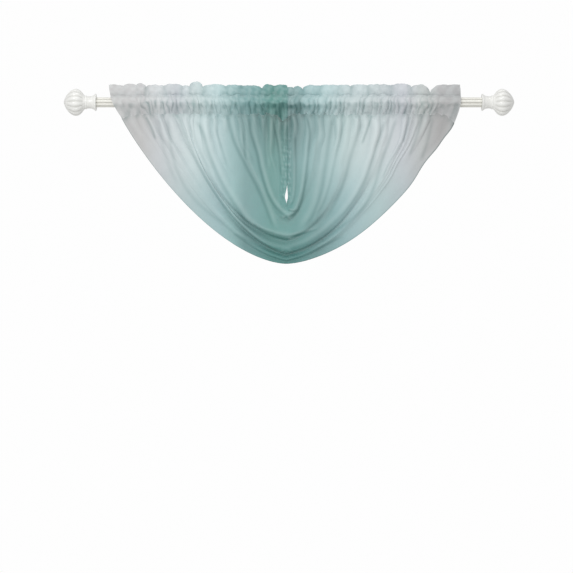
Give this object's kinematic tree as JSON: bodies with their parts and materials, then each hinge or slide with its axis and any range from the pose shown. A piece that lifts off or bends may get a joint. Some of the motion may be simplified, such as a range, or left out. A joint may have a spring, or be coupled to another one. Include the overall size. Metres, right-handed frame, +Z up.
{
  "type": "sheer swag valance on a curtain pole",
  "caption": "Sheer voile swag valance with gathered rod-pocket headings and cowl folds, hanging from a reeded curtain pole with fluted knob finials.",
  "frame": {"origin": "middle of the pole's length, on the pole's axis", "axes": "+X along the pole to the right as seen from the room, +Y towards the wall, +Z up"},
  "size_m": [1.53, 0.0896, 0.6093],
  "materials": {
    "voile": "sheer plain-weave polyester voile, shaded from pale grey through pale blue-green to deep teal at the middle",
    "painted_wood": "satin off-white paint",
    "painted_finial": "satin white enamel on moulded resin"
  },
  "bodies": {
    "root": {"swag_cloth": "voile", "pole": "painted_wood", "collar_left": "painted_finial", "collar_right": "painted_finial", "finial_left": "painted_finial", "finial_right": "painted_finial"}
  },
  "joints": []
}
